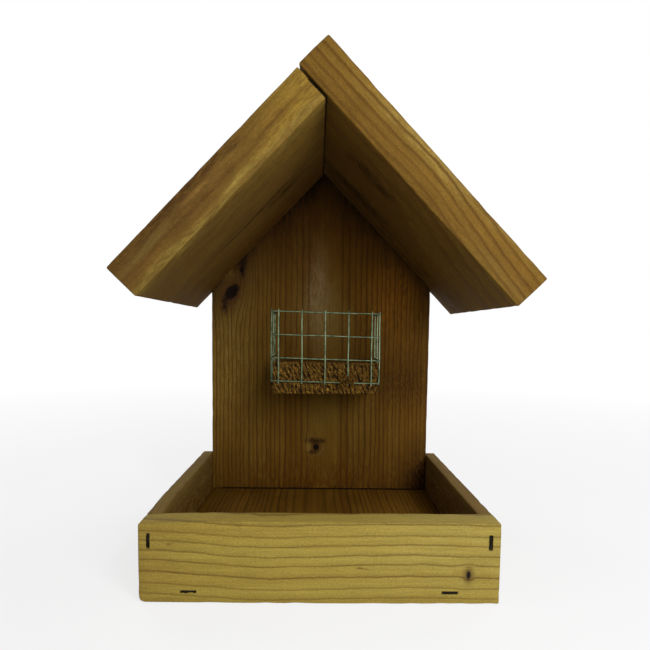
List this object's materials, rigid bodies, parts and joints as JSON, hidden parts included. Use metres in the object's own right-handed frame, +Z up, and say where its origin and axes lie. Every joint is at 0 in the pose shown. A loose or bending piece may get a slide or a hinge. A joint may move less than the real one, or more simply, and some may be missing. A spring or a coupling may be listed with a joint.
{
  "type": "bird table",
  "caption": "Small gabled wooden bird table: a seed tray, a tall back board, two overlapping roof boards and an open-topped wire food cage on a shelf block.",
  "frame": {"origin": "middle of the tray's flat underside", "axes": "+Z up, +Y from the tray's front board to the back board's rear face, +X to the right as seen from the front"},
  "size_m": [0.273, 0.194, 0.3429],
  "materials": {
    "tray_wood": "planed, pressure-treated softwood, matt, eased arrises",
    "floor_wood": "planed, pressure-treated softwood, matt",
    "back_board_wood": "planed, pressure-treated softwood, matt, knotty",
    "roof_wood": "planed, pressure-treated softwood, matt",
    "rough_sawn_wood": "rough-sawn softwood, splintery",
    "galvanised_wire": "zinc-coated welded wire, dull",
    "staple_steel": "zinc-coated, darkened",
    "nail_steel": "zinc-coated, dull",
    "screw_steel": "yellow-passivated zinc"
  },
  "bodies": {
    "root": {"back_board": "back_board_wood", "roof_board_left": "roof_wood", "roof_board_right": "roof_wood", "tray_front_board": "tray_wood", "tray_side_left": "tray_wood", "tray_side_right": "tray_wood", "tray_floor": "floor_wood", "shelf_block": "rough_sawn_wood", "cage_net_front": "galvanised_wire", "cage_net_left": "galvanised_wire", "cage_net_right": "galvanised_wire", "corner_staples": "staple_steel", "front_floor_staples": "staple_steel", "back_floor_staples": "staple_steel", "side_staples_left": "staple_steel", "side_staples_right": "staple_steel", "roof_nails_left": "nail_steel", "roof_nails_right": "nail_steel", "ridge_nails": "nail_steel", "shelf_screws": "screw_steel", "net_staples": "staple_steel"}
  },
  "joints": []
}
